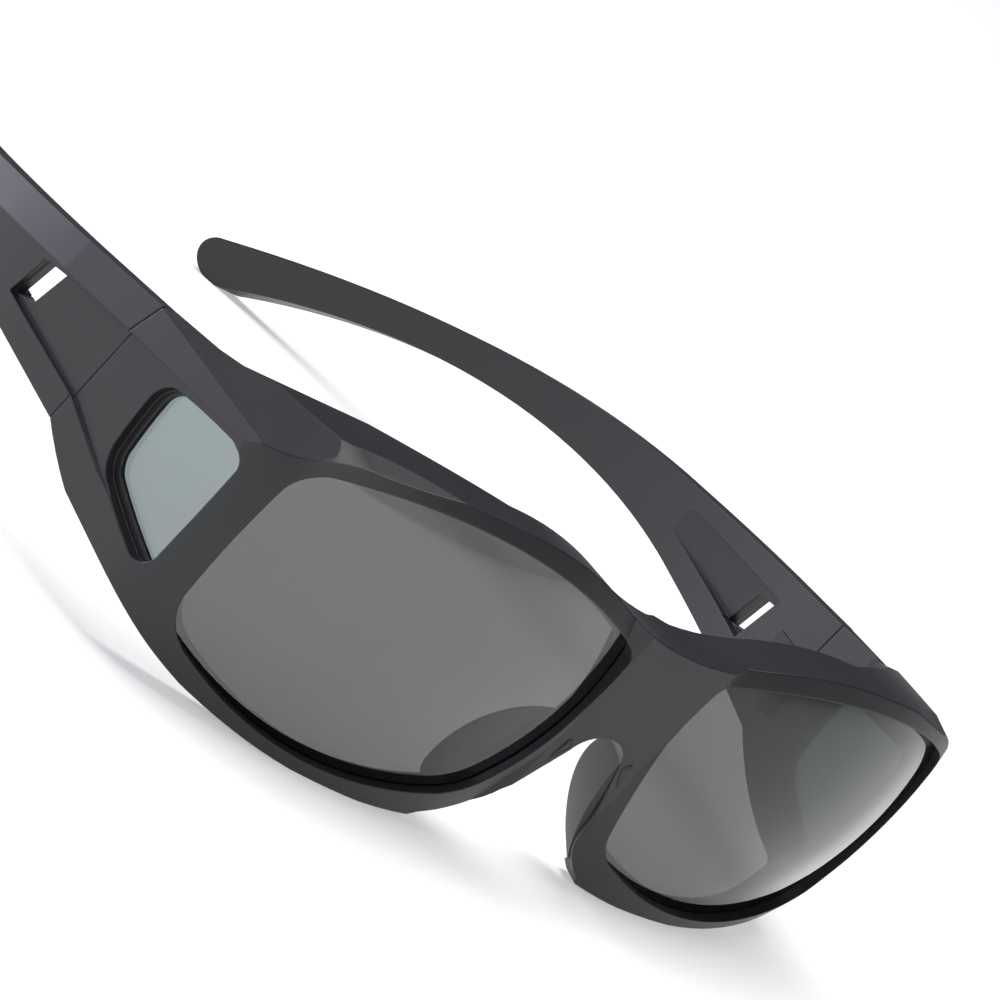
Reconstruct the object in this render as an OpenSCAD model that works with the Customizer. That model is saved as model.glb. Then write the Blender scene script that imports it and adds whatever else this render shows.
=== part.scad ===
// Fit-over wraparound sunglasses with side windows, in millimetres.
// The world has X across the face, Y from the front towards the ears and Z up.
// The glasses stand open on their lower rims and temple tips, on the plane Z = 0.
// The right side is at +X, as the wearer has it.

/* [Overall] */
// Width over the temples at their widest
frame_w = 154.5; // [152:0.5:159]
// Lean of the lenses while the glasses stand open
rest_tilt = 7.5; // [6.5:0.25:8.5]
// Outward splay of the side walls
splay = 7.2; // [6.5:0.1:8]
// Depth of the small flats that the glasses stand on
foot_flat = 0.15; // [0.1:0.05:0.3]

/* [Front] */
// Radius of the rim face, a sphere in front of each eye
face_r = 68.5; // [67:0.5:71]
// Distance of each face sphere from the middle plane
eye_x = 26.5; // [25.5:0.25:27.5]
// Thickness of the side walls and temples
wall = 4; // [3.8:0.1:4.4]
// Thickness of the brow ledge
ledge_t = 2.6; // [2:0.1:3.2]
// Fall of the top of the brow towards the back
brow_fall = 2; // [1:0.25:3]
// Depth from the front to the hinge seam
seam_y = 49.5; // [48:0.5:51]
// Fillet between the rim face and the side wall
corner_r = 16; // [13:0.5:17]

/* [Lenses] */
// Width of the lens opening
lens_w = 59.5; // [56:0.5:60]
// Height of the lens opening
lens_h = 42.8; // [40:0.2:43.4]
// Thickness of each front lens
lens_t = 1.8; // [1.5:0.1:2.2]
// Depth of the rim in front of the lens
lip = 1.5; // [1.2:0.1:1.9]
// Depth of the groove that holds the lens edge
groove = 0.8; // [0.5:0.1:1]
// Rim left behind the lens
rear_lip = 2; // [1.6:0.1:2.2]
// Angle of each lens axis away from straight ahead
lens_turn = 9.7; // [8:0.1:11]

/* [Side windows] */
// Thickness of each side lens
side_t = 1.2; // [1:0.1:1.4]
// Overlap of the side lens behind its window
side_lap = 1; // [0.6:0.1:1.2]
// Width of the sunk sill behind and below each window
sill = 1.3; // [0.8:0.1:1.6]
// Width of the sill over the window
sill_top = 0.4; // [0.3:0.05:0.5]
// Depth of the sill from the outer face
sill_d = 2; // [1.6:0.1:2.2]
// Depth of the side panel at the seam
recess = 0.7; // [0.4:0.1:0.9]
// Depth of the recess on the inner face of the temple
inner_d = 2.2; // [1.8:0.1:2.4]

/* [Nose] */
// Radius at the top of the nose arch
arch_r = 5; // [4:0.25:6]
// Thickness of each nose pad
pad_t = 1.8; // [1.4:0.1:2.2]

/* [Temples] */
// Plan radius that bows each temple round the head
bow_r = 180; // [170:5:200]
// Radius of the rounded tip
tip_r = 3.7; // [3.4:0.1:4.1]
// Distance from the front to the middle of the tip
tip_y = 178.2; // [172:0.5:184]
// Gap at the hinge seam
seam_gap = 0.2; // [0.1:0.05:0.4]

/* [Hinges] */
// Outer radius of the knuckles
knuckle_r = 1.7; // [1.5:0.05:2]
// Height of each knuckle
knuckle_h = 3.2; // [2.8:0.1:3.6]
// Radius of the screw
pin_r = 0.7; // [0.6:0.02:0.8]
// Radial play of the screw in the knuckles
pin_play = 0.03; // [0.01:0.01:0.06]
// Thickness of the hinge leaves
leaf_t = 1; // [0.8:0.1:1.2]
// Length of each leaf along the wall
leaf_l = 8.5; // [7:0.5:10]

/* [Hidden] */
$fn = 96;
charcoal = "#2b2c30";
smoke = "#55575a";
pale = "#8f9b9b";
soft_grey = "#4a4c4d";
steel = "#b4b6b8";

// Levels on the lens axes, with Z along the lens height and its zero near the brow
mid_z = -18;
lens_top = 3.3;
lens_bot = lens_top - lens_h;
rim_bot = lens_bot - 2.5;
ridge_z = -14.3;
// Side wall plane, X = side_x + Y tan(splay)
bend_y = 62;
bow_c = [frame_w / 2 - bow_r, bend_y + bow_r * sin(splay)];
side_x = bow_c[0] + bow_r * cos(splay) - bend_y * tan(splay);
// Distance of that plane from the middle of the face sphere
side_d = (side_x + face_r * tan(splay) - eye_x) * cos(splay);
// Height of the lens axes origin over the plane that the glasses stand on
foot_a = sin(rest_tilt) / 64;
foot_b = cos(rest_tilt) / 150;
foot_x = (eye_x * foot_a + 35 * foot_b) / (foot_a + foot_b);
foot_z = rim_bot + (35 - foot_x) * (35 - foot_x) / 300;
foot_y = face_r - sqrt(face_r * face_r - (foot_z - mid_z) * (foot_z - mid_z) - (foot_x - eye_x) * (foot_x - eye_x));
rest_h = -(foot_y * sin(rest_tilt) + foot_z * cos(rest_tilt)) - foot_flat;
tip_z = (tip_r - foot_flat - rest_h - tip_y * sin(rest_tilt)) / cos(rest_tilt);
// Radii of the lens and of the cavity behind it
lens_ro = face_r - lip;
lens_ri = lens_ro - lens_t;
cavity_r = lens_ri - rear_lip;
// Level of the middle of the nose arch
arch_z = -21.4;
// Hinge, placed at the middle of the seam and on the inner face of the wall
hinge_z = mid_z - 4;
hinge_w = [side_x + seam_y * tan(splay) - wall / cos(splay), seam_y, hinge_z];
axis_in = 0.75;
leaf_gap = 1.75;
knuckle_gap = 0.3;
play_z = 0.05;
stack_h = 3 * knuckle_h + 2 * play_z;
head_r = 1.15;
head_h = 0.7;
// Distance of the lens opening from the middle plane
lens_in = 9.36;
// Nose pad: front middle on the rim, then its turn, then the radius it is curved to
pad_at = [lens_in - 2.06, 5, -28];
pad_turn = [31, 61.5, 16];
pad_r = 38;
pad_mid = 2.6;
// Temple side outline: a straight upper edge from the seam to top_at, then an arc that touches the tip,
// and a lower edge that is level as far as low_at, then an arc that touches the tip
top_fall = 13.8;
top_seam = -8.8;
top_at = [98, top_seam - (98 - seam_y) * tan(top_fall)];
top_r = arc_r(top_at, top_fall, tip_r - 0.03);
top_c = top_at - top_r * [sin(top_fall), cos(top_fall)];
low_at = [88, -30.9];
low_r = arc_r(low_at, 0, 0.03 - tip_r);
low_c = low_at - [0, low_r];
tip_a = atan2(tip_z - top_c[1], tip_y - top_c[0]);
// Ridge of the outer face: its fall on the front and on the temple, and the lean of the bevel over it
ridge_falls = [12.2, 12.7];
bevel_lean = 18;
// Side panel: outward turn of its floor on the front, inward turn on the temple
panel_turns = [1.3, 1];
// Outer corner of the brow: a point on its front edge, the middle of its round from there, its radius,
// its falls before and after the round, and its rise towards the back
brow_at = [61.3, 12.3, 42.67];
brow_mid = [-5.55, -11.24];
brow_r = 12.73;
brow_falls = [19, 40];
brow_rise = 8;
// Crown of the brow over each eye and level of the dip over the nose
crown = 47.1;
dip = 40.9;
// Middle of the whole depth, from the front of the bridge to the back of the tips
front_y = 2.52;
back_y = tip_y * cos(rest_tilt) - tip_z * sin(rest_tilt) + tip_r;
mid_y = (front_y + back_y) / 2;

// Middle of the corner circle between two discs, set 0.03 mm outwards so that the arcs cross
function meet(a, b, r, near) =
  let (
    d = norm([b[0] - a[0], b[1] - a[1]]),
    ra = a[2] - r + 0.03,
    rb = b[2] - r + 0.03,
    t = (ra * ra - rb * rb + d * d) / (2 * d),
    h = sqrt(max(0, ra * ra - t * t)),
    e = [(b[0] - a[0]) / d, (b[1] - a[1]) / d],
    p = [a[0] + t * e[0] - h * e[1], a[1] + t * e[1] + h * e[0]],
    q = [a[0] + t * e[0] + h * e[1], a[1] + t * e[1] - h * e[0]]
  ) norm(p - near) < norm(q - near) ? p : q;

// Radius of the arc that leaves point a at a fall of f degrees and touches a tip of radius r
function arc_r(a, f, r) =
  let (w = [tip_y - a[0], tip_z - a[1]])
  (w * w - r * r) / (-2 * (w * [sin(f), cos(f)] + r));

function away(c, m, k) =
  let (v = [m[0] - c[0], m[1] - c[1]]) [m[0] + v[0] / norm(v) * k, m[1] + v[1] / norm(v) * k];

// Outline bounded by four discs, each corner rounded, the whole grown by g
module disc_outline(discs, corners, g) {
  difference() {
    intersection_for (i = [0:3]) {
      translate([discs[i][0], discs[i][1]])
        circle(discs[i][2] + g);
    }
    for (i = [0:3]) {
      corner_cut(discs[i], discs[(i + 1) % 4], corners[i], g);
    }
  }
}

module corner_cut(a, b, corner, g) {
  m = meet(a, b, corner[2], [corner[0], corner[1]]);
  reach = corner[2] + g;
  p = away([a[0], a[1]], m, reach * 2.4);
  q = away([b[0], b[1]], m, reach * 2.4);
  top = [(p[0] + q[0]) * 1 - m[0], (p[1] + q[1]) * 1 - m[1]];
  difference() {
    polygon([m, p, top, q]);
    translate(m)
      circle(reach);
  }
}

// Lens opening seen along the lens axis, from the middle of the face sphere
module lens_outline(g) {
  right = 31.2 + lens_w - 59.5;
  left = (lens_in - eye_x - face_r * sin(lens_turn)) / cos(lens_turn);
  disc_outline(
    [
      [-0.5, lens_top - 64, 64],
      [left + 50, -9, 50],
      [3.5, lens_bot + 62, 62],
      [right - 90, mid_z, 90]
    ],
    [
      [left, -3, 3.2],
      [left + 6, lens_bot + 5, 10],
      [right - 2, lens_bot + 4, 9],
      [right - 2, lens_top - 4, 8]
    ],
    g
  );
}

// Window outline on the side wall: distance back, then height, grown by g, with its front edge moved back
// by f and its top edge down by t
module window_outline(g, f = 0, t = 0) {
  disc_outline(
    [
      [-5.4, -157.15 - t, 150],
      [219.9 + f, -19, 200],
      [9, 69, 100],
      [-21.5, -14, 60]
    ],
    [
      [20.5, -10, 2.3],
      [20.5, -29.4, 2.2],
      [36.5, -27, 4],
      [38, -14, 3.4]
    ],
    g
  );
}

module world() {
  translate([0, -mid_y, rest_h])
    rotate([rest_tilt, 0, 0])
      children();
}

// What lies under the plane that the glasses stand on
module floor_cut() {
  level()
    translate([-120, -40, -20])
      cube([240, 260, 20]);
}

// Level axes inside the lens axes
module level() {
  rotate([-rest_tilt, 0, 0])
    translate([0, 0, -rest_h])
      children();
}

// Lens axis: children drawn in its XY plane run along it
module along_lens() {
  translate([eye_x, face_r, 0])
    rotate([0, 0, lens_turn])
      rotate([90, 0, 0])
        translate([0, 0, 22])
          linear_extrude(face_r - 12)
            children();
}

// Prism through the side wall: children use distance back and height, d0 to d1 is depth inwards
module through_side(d0, d1) {
  translate([side_x, 0, 0])
    rotate([0, 0, -splay])
      translate([-d1, 0, 0])
        rotate([90, 0, 90])
          linear_extrude(d1 - d0)
            children();
}

// Body of revolution in front of one eye: rim face, corner fillet and side wall
module eye_body(r, d, fillet) {
  fh = d - fillet;
  fr = sqrt((r - fillet) * (r - fillet) - fh * fh);
  translate([eye_x, face_r, mid_z])
    rotate([0, 0, -splay])
      rotate([0, 90, 0])
        rotate_extrude()
          difference() {
            intersection() {
              circle(r);
              translate([0, -r])
                square([r, r + d]);
            }
            if (fillet > 0.1) {
              difference() {
                polygon([
                  [fr, fh], [fr * 1.4, fh * 1.4], [fr * 1.4, d + 8], [fr, d + 8]
                ]);
                translate([fr, fh])
                  circle(fillet);
              }
            }
          }
}

module right_half() {
  intersection() {
    children();
    translate([0, -20, -80])
      cube([100, 240, 120]);
  }
}

module both_sides() {
  right_half()
    children();
  mirror([1, 0, 0])
    right_half()
      children();
}

// What lies over the brow line on one side, drawn from the front on the level axes
module over_outer() {
  difference() {
    translate([35, crown - 30])
      square([70, 60]);
    translate([35, crown - 115])
      circle(115);
  }
}

module over_inner() {
  r = 58;
  sr = 43;
  up = dip + sr - crown + r;
  cx = 35 - sqrt((r + sr) * (r + sr) - up * up);
  tx = 35 + (cx - 35) * r / (r + sr);
  tz = crown - r + up * r / (r + sr);
  difference() {
    translate([-0.01, dip])
      square([35.01, 50]);
    translate([35, crown - r])
      circle(r);
    difference() {
      polygon([[cx, dip - 2], [cx, dip], [tx, tz], [tx + 6, dip - 2]]);
      translate([cx, dip + sr])
        circle(sr);
    }
  }
}

// What lies over the outer corner of the brow: two slopes with a round between them
module over_corner() {
  f = brow_falls;
  k = brow_r - 0.03;
  t = [for (a = f) brow_mid + k * [sin(a), cos(a)]];
  difference() {
    translate([-16, brow_mid[1]])
      square([40, 40]);
    polygon([
      t[0] + 30 * [-cos(f[0]), sin(f[0])], t[0], t[1], t[1] + 30 * [cos(f[1]), -sin(f[1])],
      [0, -60], [-60, -60]
    ]);
    translate(brow_mid)
      circle(brow_r);
  }
}

module front_prism(back, front) {
  translate([0, back, 0])
    rotate([90, 0, 0])
      linear_extrude(back - front)
        children();
}

module over_brow(drop) {
  level() {
    translate([0, 8, crown - drop])
      rotate([-brow_fall, 0, 0])
        translate([0, -8, -crown]) {
          front_prism(90, -40)
            over_outer();
          front_prism(90, -40)
            over_inner();
        }
    translate(brow_at - [0, 0, drop])
      rotate([brow_rise, 0, -splay])
        front_prism(60, -30)
          over_corner();
    translate(brow_at + [3.2, 0, -1.6 - drop])
      rotate([0, brow_falls[1], -splay])
        translate([-15, -30, 0])
          cube([40, 90, 20]);
  }
}

// Lower outline seen from the front, rounded up at the outer corners
module rim_front() {
  rim_lobe();
  mirror([1, 0])
    rim_lobe();
}

module rim_lobe() {
  difference() {
    translate([35, rim_bot + 150])
      circle(150, $fn = 360);
    translate([-150, -60])
      square([149, 300]);
    translate([-150, 30])
      square([400, 300]);
    translate([90, -60])
      square([200, 300]);
    difference() {
      translate([52, -60])
        square([60, 60]);
      translate([45, rim_bot + 60.3])
        circle(60, $fn = 360);
    }
  }
}

// Nose opening under the arch, between the rounded lower corners of the rims
module nose_flare() {
  nr = 14.9;
  nx = 23.4;
  nz = rim_bot + 150 - sqrt((150.03 - nr) * (150.03 - nr) - (35 - nx) * (35 - nx));
  end_x = 35 - (35 - nx) * 150 / (150 - nr);
  a = 20;
  in_r = nr - 0.1;
  in_a = arch_r - 0.1;
  difference() {
    polygon([
      [in_a * cos(a), arch_z + in_a * sin(a)],
      [nx - in_r * cos(a), nz - in_r * sin(a)],
      [end_x, nz - 20],
      [-end_x, nz - 20],
      [-nx + in_r * cos(a), nz - in_r * sin(a)],
      [-in_a * cos(a), arch_z + in_a * sin(a)]
    ]);
    translate([nx, nz])
      circle(nr);
    translate([-nx, nz])
      circle(nr);
  }
}

module nose_cut() {
  front_prism(90, -40)
    nose_flare();
  front_prism(89, -39)
    translate([0, arch_z])
      circle(arch_r);
}

// Side outline limits: height against distance back, with the lower edge of the wall on an arc
module side_limits() {
  seam = seam_y - seam_gap / 2;
  low_y = 25;
  arc_z = 23.6;
  r = 60;
  difference() {
    polygon([
      [-20, -51], [5, -51], [low_y, arc_z - r], [seam, arc_z - r],
      [seam, top_seam], [seam - 13, top_seam + 3.5], [-20, 22.8]
    ]);
    difference() {
      translate([low_y, arc_z - r - 30])
        square([r, r + 2]);
      translate([low_y, arc_z])
        circle(r + 0.02, $fn = 360);
    }
  }
}

module front_frame() {
  color(charcoal)
    world()
      frame_body();
}

// Bridge seen from above: flat in front, with flanks that run back into the rims
module bridge_plan() {
  polygon([[-8.4, 2.5], [8.4, 2.5], [16, 7], [16, 12.5], [-16, 12.5], [-16, 7]]);
}

module eye_sphere(r) {
  translate([eye_x, face_r, mid_z])
    rotate([0, 90, 0])
      sphere(r);
}

module frame_body() {
  difference() {
    intersection() {
      union() {
        both_sides()
          eye_body(face_r, side_d, corner_r);
        translate([0, 0, -60])
          linear_extrude(90)
            bridge_plan();
      }
      front_prism(90, -40)
        rim_front();
      translate([-100, 0, 0])
        rotate([90, 0, 90])
          linear_extrude(200)
            side_limits();
    }
    both_sides()
      over_brow(0);
    nose_cut();
    both_sides()
      cavity();
    both_sides()
      side_cuts();
    floor_cut();
  }
}

// Room behind the rims, roofed by the ledge as far back as the ledge arc
module cavity() {
  difference() {
    eye_body(cavity_r, side_d - wall, 0);
    difference() {
      over_brow(ledge_t);
      ledge_opening();
    }
  }
}

// The ledge ends behind the bridge, then at an arc that swings to the top of the side wall
module ledge_opening() {
  translate([0, 0, -80])
    linear_extrude(140)
      difference() {
        translate([2.5, 86.7])
          circle(81.5);
        translate([-80, 0])
          square([160, 12.4]);
      }
}

module side_cuts() {
  difference() {
    along_lens()
      lens_outline(0);
    eye_sphere(cavity_r - 1);
  }
  lens_shape();
  through_side(-2, wall + 2)
    window_outline(0);
  through_side(-2, sill_d)
    window_outline(sill, sill, sill - sill_top);
  through_side(wall - side_t, wall + 1)
    window_outline(side_lap);
  panel_cut(panel_turns[0])
    front_panel();
  bevel_cut(ridge_falls[0]);
  pad_seat();
  foot_relief();
  hinge_cuts(-1);
}

// The foot of the rim is thinner behind the lower end of the pad
module foot_relief() {
  translate([0, 0, -46])
    linear_extrude(9.1)
      polygon([[9, 5.15], [16.2, 5.15], [19, 11.6], [9, 11.6]]);
}

module lens_shape() {
  difference() {
    intersection() {
      along_lens()
        lens_outline(groove);
      eye_sphere(lens_ro);
    }
    eye_sphere(lens_ri);
  }
}

module side_lens_shape() {
  through_side(wall - side_t, wall)
    window_outline(side_lap);
}

// Shallow panel on the outer face: children use distance back from the seam and height
module panel_cut(turn) {
  translate([side_x + seam_y * tan(splay) - recess / cos(splay), seam_y, 0])
    rotate([90, 0, 90 + turn - splay])
      linear_extrude(8)
        children();
}

// Fades out ahead of the window
module front_panel() {
  polygon([
    [4, ridge_z - 4 * tan(ridge_falls[0])], [4, -26.6], [0, -26.8], [-12.2, -29.1],
    [-20, -29.7], [-34, ridge_z + 34 * tan(ridge_falls[0])]
  ]);
}

// Deepens towards the slot
module temple_panel() {
  polygon([
    [-4, ridge_z + 4 * tan(ridge_falls[1])], [14.4, ridge_z - 14.4 * tan(ridge_falls[1]) - 0.2],
    [19.8, -19.6], [21, -26.8], [-4, -26.8]
  ]);
}

module temple_slot() {
  polygon([[15.6, -18.6], [19.6, -19.8], [20.8, -26.5], [16.8, -25]]);
}

// Flat bevel above the ridge line of the side wall and temple
module bevel_cut(fall) {
  ridge_axes(seam_y, ridge_z, fall)
    rotate([0, -bevel_lean, 0])
      translate([0, -60, 0])
        cube([12, 140, 22]);
}

// The same bevel carried round the bow of the temple
module bow_bevel() {
  up = 22;
  down = 6;
  ridge_axes(bend_y, ridge_z - (bend_y - seam_y) * tan(ridge_falls[1]), ridge_falls[1])
    intersection() {
      translate([-40, 0, -10])
        cube([80, 150, 40]);
      translate([-bow_r, 0, 0])
        rotate_extrude($fn = 360)
          polygon([
            [bow_r + 0.03 + down * tan(bevel_lean), -down], [bow_r + 30, -down],
            [bow_r + 30, up], [bow_r + 0.03 - up * tan(bevel_lean), up]
          ]);
    }
}

// Axes on the outer face at distance back y and height z: Y falls back along the wall, X outwards
module ridge_axes(y, z, fall) {
  translate([side_x + y * tan(splay), y, z])
    rotate([-fall, 0, -splay])
      children();
}

// Nose pad axes: X along the pad, Y back from the rim, Z away from the nose
module pad_axes() {
  translate(pad_at)
    rotate(pad_turn)
      children();
}

module pad_outline() {
  disc_outline(
    [
      [pad_mid - 0.9, -7.6, 16.5],
      [pad_mid + 8, 2, 20],
      [pad_mid, 78.5, 80],
      [pad_mid - 10.1, 1, 20]
    ],
    [
      [-8.5, 3.5, 3.5],
      [-9, -1, 1.8],
      [12, -1, 1.8],
      [11.5, 3.5, 3.5]
    ],
    0
  );
}

module pad_drum(r) {
  translate([pad_mid, 20, pad_r])
    rotate([90, 0, 0])
      cylinder(h = 40, r = r);
}

module pad_shape() {
  pad_axes()
    difference() {
      intersection() {
        translate([0, 0, -3])
          linear_extrude(12)
            pad_outline();
        pad_drum(pad_r);
      }
      pad_drum(pad_r - pad_t);
    }
}

// The seat reaches out through the flank over the whole pad
module pad_seat() {
  pad_axes()
    difference() {
      translate([0, 0, -3])
        linear_extrude(12)
          pad_outline();
      pad_drum(pad_r - pad_t);
    }
}

// Hinge axes: Z upright along the screw, Y back along the wall, X outwards, zero on the inner face
module hinge_axes() {
  translate(hinge_w)
    rotate([-rest_tilt, 0, 0])
      rotate([0, 0, -splay])
        children();
}

// Leaf on one side of the seam, dir is -1 for the front and 1 for the temple
module leaf_plate(dir, x0) {
  y0 = dir > 0 ? leaf_gap : -leaf_l;
  translate([x0, y0, -stack_h / 2])
    cube([leaf_t - x0, leaf_l - leaf_gap, stack_h]);
}

module knuckle(dir, z0, h) {
  y0 = dir > 0 ? knuckle_gap : -3;
  translate([-axis_in, 0, z0])
    cylinder(h = h, r = knuckle_r);
  translate([0, y0, z0])
    cube([leaf_t, 3 - knuckle_gap, h]);
}

module front_leaf_shape() {
  z1 = knuckle_h / 2 + play_z;
  difference() {
    union() {
      leaf_plate(-1, 0);
      knuckle(-1, z1, knuckle_h);
      knuckle(-1, -z1 - knuckle_h, knuckle_h);
    }
    translate([-axis_in, 0, 0])
      cylinder(h = stack_h, r = pin_r + pin_play);
    translate([-axis_in, 0, -stack_h])
      cylinder(h = stack_h, r = pin_r);
    translate([-axis_in, 0, stack_h / 2 - head_h])
      cylinder(h = 2, r = head_r + 0.05);
  }
}

module temple_leaf_shape() {
  difference() {
    union() {
      leaf_plate(1, 0);
      knuckle(1, -knuckle_h / 2, knuckle_h);
    }
    translate([-axis_in, 0, -stack_h])
      cylinder(h = 2 * stack_h, r = pin_r + pin_play);
  }
}

module screw_shape() {
  difference() {
    union() {
      translate([-axis_in, 0, -stack_h / 2])
        cylinder(h = stack_h - 0.3, r = pin_r);
      translate([-axis_in, 0, stack_h / 2 - head_h])
        cylinder(h = head_h, r = head_r);
    }
    translate([-axis_in - 2, -0.16, stack_h / 2 - 0.3])
      cube([4, 0.32, 1]);
  }
}

// Pockets for one leaf and for all the knuckles
module hinge_cuts(dir) {
  y0 = dir > 0 ? knuckle_gap : -3;
  hinge_axes() {
    leaf_plate(dir, -3);
    translate([-3, y0, -stack_h / 2])
      cube([leaf_t + 3, 3 - knuckle_gap, stack_h]);
    translate([-axis_in, 0, -stack_h / 2 - 0.3])
      cylinder(h = stack_h + 0.6, r = knuckle_r + 0.25);
  }
}

// Temple side outline: distance back, then height
module temple_side() {
  seam = seam_y + seam_gap / 2;
  difference() {
    union() {
      translate(top_c)
        circle(top_r, $fn = 360);
      polygon([
        [seam_y - 3, top_seam + 3 * tan(top_fall) - 0.03], top_at - [0, 0.03],
        [top_at[0], low_at[1] - 6], [seam_y - 3, low_at[1] - 6]
      ]);
    }
    translate(low_c)
      circle(low_r, $fn = 360);
    polygon([
      [20, low_at[1] - 0.9], [66, low_at[1] - 0.03], [low_at[0], low_at[1] - 0.03],
      [low_at[0], -300], [20, -300]
    ]);
    polygon([[-400, 10], [seam, 10], [seam, -700], [-400, -700]]);
    translate([tip_y, tip_z])
      rotate(tip_a - 90)
        translate([0, -450])
          square([300, 900]);
    polygon([[low_at[0] - 1, -300], [low_at[0] - 1, -700], [500, -700], [500, -300]]);
  }
}

// Temple seen from above: straight behind the seam, then bowed in round the head
module temple_plan() {
  x0 = side_x + 30 * tan(splay);
  x1 = side_x + 240 * tan(splay);
  difference() {
    polygon([[x0 - 80, 30], [x0, 30], [x1, 240], [x0 - 80, 240]]);
    difference() {
      translate([-20, bend_y])
        square([200, 300]);
      translate(bow_c)
        circle(bow_r + 0.03, $fn = 360);
    }
    polygon([
      [x0 - 90, 20], [x0 - wall / cos(splay) - 10 * tan(splay), 20],
      [side_x + bend_y * tan(splay) - wall / cos(splay), bend_y], [x0 - 90, bend_y]
    ]);
    translate(bow_c)
      circle(bow_r - wall + 0.03, $fn = 360);
  }
}

module along_x(x0, x1) {
  translate([x0, 0, 0])
    rotate([90, 0, 90])
      linear_extrude(x1 - x0)
        children();
}

// Recess on the inner face, deepest at the slot and fading out behind it
module inner_recess() {
  shift = 12.3;
  intersection() {
    along_x(30, 100)
      translate([seam_y, 0])
        polygon([[14.1, -16.6], [40.9, -21.9], [42.5, -26.8], [15.8, -26.2]]);
    translate([bow_c[0], bow_c[1] - shift, -40])
      cylinder(h = 40, r = bow_r - wall + inner_d - shift * sin(6), $fn = 360);
  }
}

module temple_shape() {
  difference() {
    union() {
      intersection() {
        translate([0, 0, -90])
          linear_extrude(120)
            temple_plan();
        along_x(20, 120)
          temple_side();
      }
      intersection() {
        translate([0, 0, -90])
          linear_extrude(120)
            temple_plan();
        along_x(20, 120)
          translate([tip_y, tip_z])
            circle(tip_r);
      }
    }
    through_side(-6, wall + 6)
      translate([seam_y / cos(splay), 0])
        temple_slot();
    panel_cut(panel_turns[1])
      temple_panel();
    bevel_cut(ridge_falls[1]);
    bow_bevel();
    inner_recess();
    hinge_cuts(1);
    floor_cut();
  }
}

module lens_right() {
  color(smoke, 0.5)
    world()
      lens_shape();
}

module lens_left() {
  mirror([1, 0, 0])
    lens_right();
}

module side_lens_right() {
  color(pale, 0.5)
    world()
      side_lens_shape();
}

module side_lens_left() {
  mirror([1, 0, 0])
    side_lens_right();
}

module nose_pad_right() {
  color(soft_grey)
    world()
      pad_shape();
}

module nose_pad_left() {
  mirror([1, 0, 0])
    nose_pad_right();
}

module front_hinge_leaf_right() {
  color(steel)
    world()
      hinge_axes()
        front_leaf_shape();
}

module front_hinge_leaf_left() {
  mirror([1, 0, 0])
    front_hinge_leaf_right();
}

module hinge_screw_right() {
  color(steel)
    world()
      hinge_axes()
        screw_shape();
}

module hinge_screw_left() {
  mirror([1, 0, 0])
    hinge_screw_right();
}

module temple_right() {
  color(charcoal)
    world()
      temple_shape();
}

module temple_left() {
  mirror([1, 0, 0])
    temple_right();
}

module temple_hinge_leaf_right() {
  color(steel)
    world()
      hinge_axes()
        temple_leaf_shape();
}

module temple_hinge_leaf_left() {
  mirror([1, 0, 0])
    temple_hinge_leaf_right();
}

front_frame();
lens_right();
lens_left();
side_lens_right();
side_lens_left();
nose_pad_right();
nose_pad_left();
front_hinge_leaf_right();
front_hinge_leaf_left();
hinge_screw_right();
hinge_screw_left();
temple_right();
temple_left();
temple_hinge_leaf_right();
temple_hinge_leaf_left();
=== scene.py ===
"""Fit-over wraparound sunglasses with side windows, open on a white table.

Everything is in metres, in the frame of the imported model.
"""
from math import cos, radians, sin

import bmesh
import bpy
from mathutils import Matrix, Vector

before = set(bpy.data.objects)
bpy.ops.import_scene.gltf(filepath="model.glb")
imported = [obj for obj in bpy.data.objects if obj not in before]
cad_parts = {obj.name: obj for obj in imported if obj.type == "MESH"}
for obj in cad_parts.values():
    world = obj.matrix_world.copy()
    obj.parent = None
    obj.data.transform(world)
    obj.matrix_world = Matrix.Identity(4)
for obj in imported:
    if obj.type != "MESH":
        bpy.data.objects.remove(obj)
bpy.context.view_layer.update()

scene = bpy.context.scene
MM = 0.001

# Viewpoint. The picture is taken with a long lens from in front of the left
# lens, a little above it, with the camera rolled so that the glasses lie
# slantwise. The angles are on the lens axes, which lean back on the table.
LEAN = 7.5
CAMERA_TURN, CAMERA_RISE, CAMERA_ROLL = -45.5, 19.4, 43.6
CAMERA_AWAY = 883.03 * MM
CAMERA_AIM = Vector((-50.94, 0, 10.93)) * MM
AXES_START = Vector((0, -95.435, 40.868)) * MM
LONG_LENS, SENSOR_WIDE = 244.2, 36

turn, rise, roll = map(radians, (CAMERA_TURN, CAMERA_RISE, CAMERA_ROLL))
back = Vector((sin(turn) * cos(rise), -cos(turn) * cos(rise), sin(rise)))
level = Vector((cos(turn), sin(turn), 0))
rising = back.cross(level)
right = level * cos(roll) + rising * sin(roll)
up = rising * cos(roll) - level * sin(roll)
lean = Matrix.Rotation(radians(LEAN), 3, "X")
view = Matrix([lean @ axis for axis in (right, up, back)]).transposed().to_4x4()
view.translation = lean @ (CAMERA_AIM + back * CAMERA_AWAY) + AXES_START

camera_data = bpy.data.cameras.new("camera")
camera_data.lens = LONG_LENS
camera_data.sensor_width = SENSOR_WIDE
camera_data.clip_start, camera_data.clip_end = 0.01, 50
camera = bpy.data.objects.new("camera", camera_data)
camera.matrix_world = view
scene.collection.objects.link(camera)
scene.camera = camera
scene.view_settings.view_transform = "Standard"

# Table and studio. A sheet of white card under the glasses, lit by soft lamps
# from above, from behind on the left and from the front in a dim room, so that
# the black plastic takes its highlights from the lamps and from the card.
CARD_WIDE = 8.0
CARD_WHITE = (0.8, 0.8, 0.8, 1)
CARD_ROUGH, CARD_SHINE = 0.9, 0.1
CARD_GLOW = 0.36
ROOM_TINT = (0.80, 0.84, 0.92, 1)
ROOM_GLOW = 0.12


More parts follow.
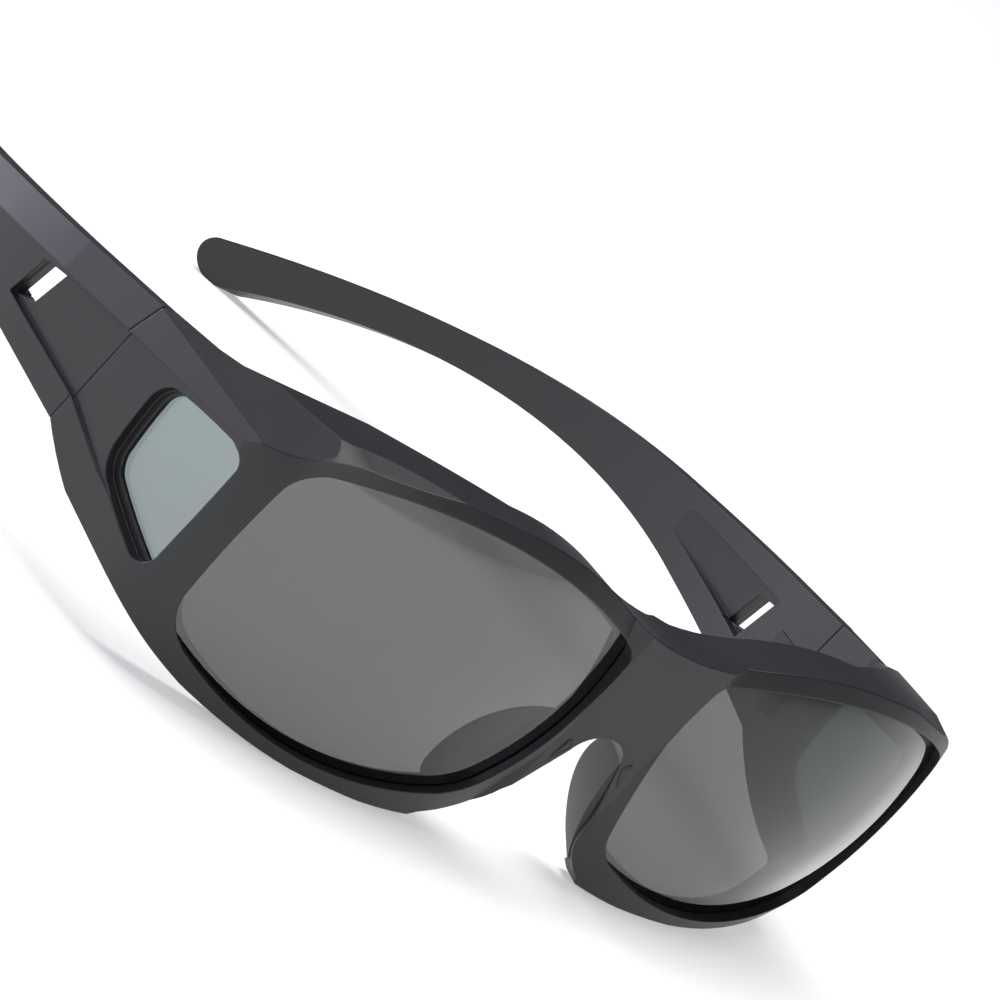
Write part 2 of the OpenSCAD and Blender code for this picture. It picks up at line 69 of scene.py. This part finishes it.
class Wire:
    """A node's output. Arithmetic on it adds Math nodes to the same tree."""

    def __init__(self, tree, out=None):
        self.tree, self.out = tree, out

    def node(self, kind, settings=None, values=None, out=0):
        """Adds a node, sets it up, then fills or links its sockets."""
        made = self.tree.nodes.new(kind)
        for key, value in (settings or {}).items():
            setattr(made, key, value)
        for key, value in (values or {}).items():
            if isinstance(value, Wire):
                self.tree.links.new(value.out, made.inputs[key])
            else:
                made.inputs[key].default_value = value
        return Wire(self.tree, made.outputs[out] if made.outputs else None)

    def maths(self, operation, a, b):
        return self.node("ShaderNodeMath", {"operation": operation}, {0: a, 1: b})

    def __add__(self, other):
        return self.maths("ADD", self, other)

    def __mul__(self, other):
        return self.maths("MULTIPLY", self, other)

    __radd__ = __add__
    __rmul__ = __mul__


def new_material(name):
    """A new empty material and the wire that starts its tree."""
    made = bpy.data.materials.new(name)
    made.use_nodes = True
    made.node_tree.nodes.clear()
    return made, Wire(made.node_tree)


white_card, wire = new_material("white card")
seen = wire.node("ShaderNodeLightPath", out="Is Camera Ray")
mirrored = wire.node("ShaderNodeLightPath", out="Is Glossy Ray")
through = wire.node("ShaderNodeLightPath", out="Is Transmission Ray")
direct = wire.maths("MINIMUM", seen + mirrored + through, 1.0)
card = wire.node("ShaderNodeBsdfPrincipled", None, {
    "Base Color": CARD_WHITE, "Roughness": CARD_ROUGH, "Specular IOR Level": CARD_SHINE,
    "Emission Color": (1, 1, 1, 1), "Emission Strength": direct * CARD_GLOW,
})
wire.node("ShaderNodeOutputMaterial", None, {"Surface": card})

sheet = bmesh.new()
bmesh.ops.create_grid(sheet, x_segments=1, y_segments=1, size=CARD_WIDE / 2)
card_mesh = bpy.data.meshes.new("table_card")
sheet.to_mesh(card_mesh)
sheet.free()
card_mesh.materials.append(white_card)
table_card = bpy.data.objects.new("table_card", card_mesh)
scene.collection.objects.link(table_card)

room = bpy.data.worlds.new("studio")
room.use_nodes = True
room.node_tree.nodes.clear()
wire = Wire(room.node_tree)
sky = wire.node("ShaderNodeBackground", None, {"Color": ROOM_TINT, "Strength": ROOM_GLOW})
wire.node("ShaderNodeOutputWorld", None, {"Surface": sky})
scene.world = room

# Each lamp: its place, its width, its power in watts and its colour
LAMPS = {
    "lamp_over": ((-0.1, 0.1, 1.6), 1.2, 26.0, (1, 1, 1)),
    "lamp_left": ((-1.2, 1.8, 0.55), 1.0, 24.0, (0.84, 0.83, 1)),
    "lamp_front": ((-0.9, -1.5, 0.7), 0.8, 12.0, (1, 1, 1)),
}
for name, (place, wide, watts, tint) in LAMPS.items():
    lamp_data = bpy.data.lights.new(name, "AREA")
    lamp_data.size = wide
    lamp_data.energy = watts
    lamp_data.color = tint
    lamp = bpy.data.objects.new(name, lamp_data)
    lamp.location = place
    lamp.rotation_euler = (-Vector(place)).to_track_quat("-Z", "Y").to_euler()
    scene.collection.objects.link(lamp)

# Front. One injection moulding of matte black plastic holds both rims, the
# bridge, the brow ledge and the side walls; its edges are slightly rounded by
# the polished mould.
EDGE_ROUND = 0.32 * MM
GRAIN_DEPTH = 0.02 * MM
GRAIN_SCALE, GRAIN_STRENGTH = 2400, 0.25
CLOUD_SCALE = 90
CLOUD_SHARE, CLOUD_ROUGH = 0.25, 0.12
PLASTIC_ROUGH = 0.42
PLASTIC_INDEX, PLASTIC_SHINE = 1.49, 0.5


def grey(level, blue=0.0):
    """A linear grey, leaning to blue by a share of itself."""
    return (level, level * (1 + blue * 0.3), level * (1 + blue), 1)


CHARCOAL = grey(0.009, 0.25)
CHARCOAL_RUBBED = grey(0.03, 0.2)


def dress(node, material):
    """Gives a CAD node one finish; its own exact form stays."""
    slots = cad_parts[node].data.materials
    slots.clear()
    slots.append(material)


def plastic(name, colour, rubbed, rough, edge_round):
    """Matte moulded plastic: faint clouding, fine grain and rounded edges."""
    made, wire = new_material(name)
    place = wire.node("ShaderNodeTexCoord", out="Object")
    cloud = wire.node("ShaderNodeTexNoise", None, {
        "Vector": place, "Scale": CLOUD_SCALE, "Detail": 3})
    grain = wire.node("ShaderNodeTexNoise", None, {
        "Vector": place, "Scale": GRAIN_SCALE, "Detail": 2})
    tone = wire.node("ShaderNodeMix", {"data_type": "RGBA"},
                     {"Factor": cloud * CLOUD_SHARE, 6: colour, 7: rubbed}, out=2)
    rounded = wire.node("ShaderNodeBevel", {"samples": 8}, {"Radius": edge_round})
    bump = wire.node("ShaderNodeBump", None, {
        "Strength": GRAIN_STRENGTH, "Distance": GRAIN_DEPTH, "Height": grain,
        "Normal": rounded})
    body = wire.node("ShaderNodeBsdfPrincipled", None, {
        "Base Color": tone, "Normal": bump, "IOR": PLASTIC_INDEX,
        "Specular IOR Level": PLASTIC_SHINE,
        "Roughness": cloud * CLOUD_ROUGH + (rough - CLOUD_ROUGH / 2)})
    wire.node("ShaderNodeOutputMaterial", None, {"Surface": body})
    return made


black_plastic = plastic(
    "matte black plastic", CHARCOAL, CHARCOAL_RUBBED, PLASTIC_ROUGH, EDGE_ROUND)
dress("front_frame", black_plastic)

# Front lenses. Each is a cap of a smoked polycarbonate shell, 1.8 mm thick,
# pressed into the groove round its rim from behind.
SMOKE = (0.112, 0.116, 0.113, 1)
LENS_INDEX = 1.5
LENS_ROUGH = 0.0


def smoked(name, tint, rough):
    """Clear tinted plastic with a hard polished surface."""
    made, wire = new_material(name)
    body = wire.node("ShaderNodeBsdfPrincipled", None, {
        "Base Color": tint, "Roughness": rough, "IOR": LENS_INDEX,
        "Transmission Weight": 1.0})
    wire.node("ShaderNodeOutputMaterial", None, {"Surface": body})
    return made


smoked_lens = smoked("smoked lens", SMOKE, LENS_ROUGH)
for side in ("right", "left"):
    dress("lens_" + side, smoked_lens)

# Side windows. A flat pane of paler plastic sits in a step behind each window
# in the side wall.
PALE_SMOKE = (0.22, 0.262, 0.262, 1)
PANE_ROUGH = 0.05

pale_pane = smoked("pale side pane", PALE_SMOKE, PANE_ROUGH)
for side in ("right", "left"):
    dress("side_lens_" + side, pale_pane)

# Nose pads. Soft grey rubber shells glued into shallow seats in the flanks
# of the rims, one on each side of the nose opening.
RUBBER = grey(0.028)
RUBBER_WORN = grey(0.06)
RUBBER_ROUGH = 0.6
RUBBER_ROUND = 0.5 * MM

soft_rubber = plastic("soft grey rubber", RUBBER, RUBBER_WORN, RUBBER_ROUGH, RUBBER_ROUND)
for side in ("right", "left"):
    dress("nose_pad_" + side, soft_rubber)

# Hinges. A stamped and blackened steel leaf is let into each side wall and
# each temple, and a slotted screw runs down through their three knuckles.
BLACKENED = (0.05, 0.05, 0.052, 1)
BRUSH_SCALE = 1500
STEEL_ROUGH, STEEL_ROUGH_SPREAD = 0.25, 0.2

dark_steel, wire = new_material("blackened steel")
place = wire.node("ShaderNodeTexCoord", out="Object")
brushed = wire.node("ShaderNodeTexNoise", None, {
    "Vector": place, "Scale": BRUSH_SCALE, "Detail": 3})
body = wire.node("ShaderNodeBsdfPrincipled", None, {
    "Base Color": BLACKENED, "Metallic": 1.0,
    "Roughness": brushed * STEEL_ROUGH_SPREAD + STEEL_ROUGH})
wire.node("ShaderNodeOutputMaterial", None, {"Surface": body})
for part in ("front_hinge_leaf_", "temple_hinge_leaf_", "hinge_screw_"):
    for side in ("right", "left"):
        dress(part + side, dark_steel)

# Temples. Each is one moulding of the same plastic, bowed in round the head,
# with a slot behind the hinge and a rounded tip.
for side in ("right", "left"):
    dress("temple_" + side, black_plastic)
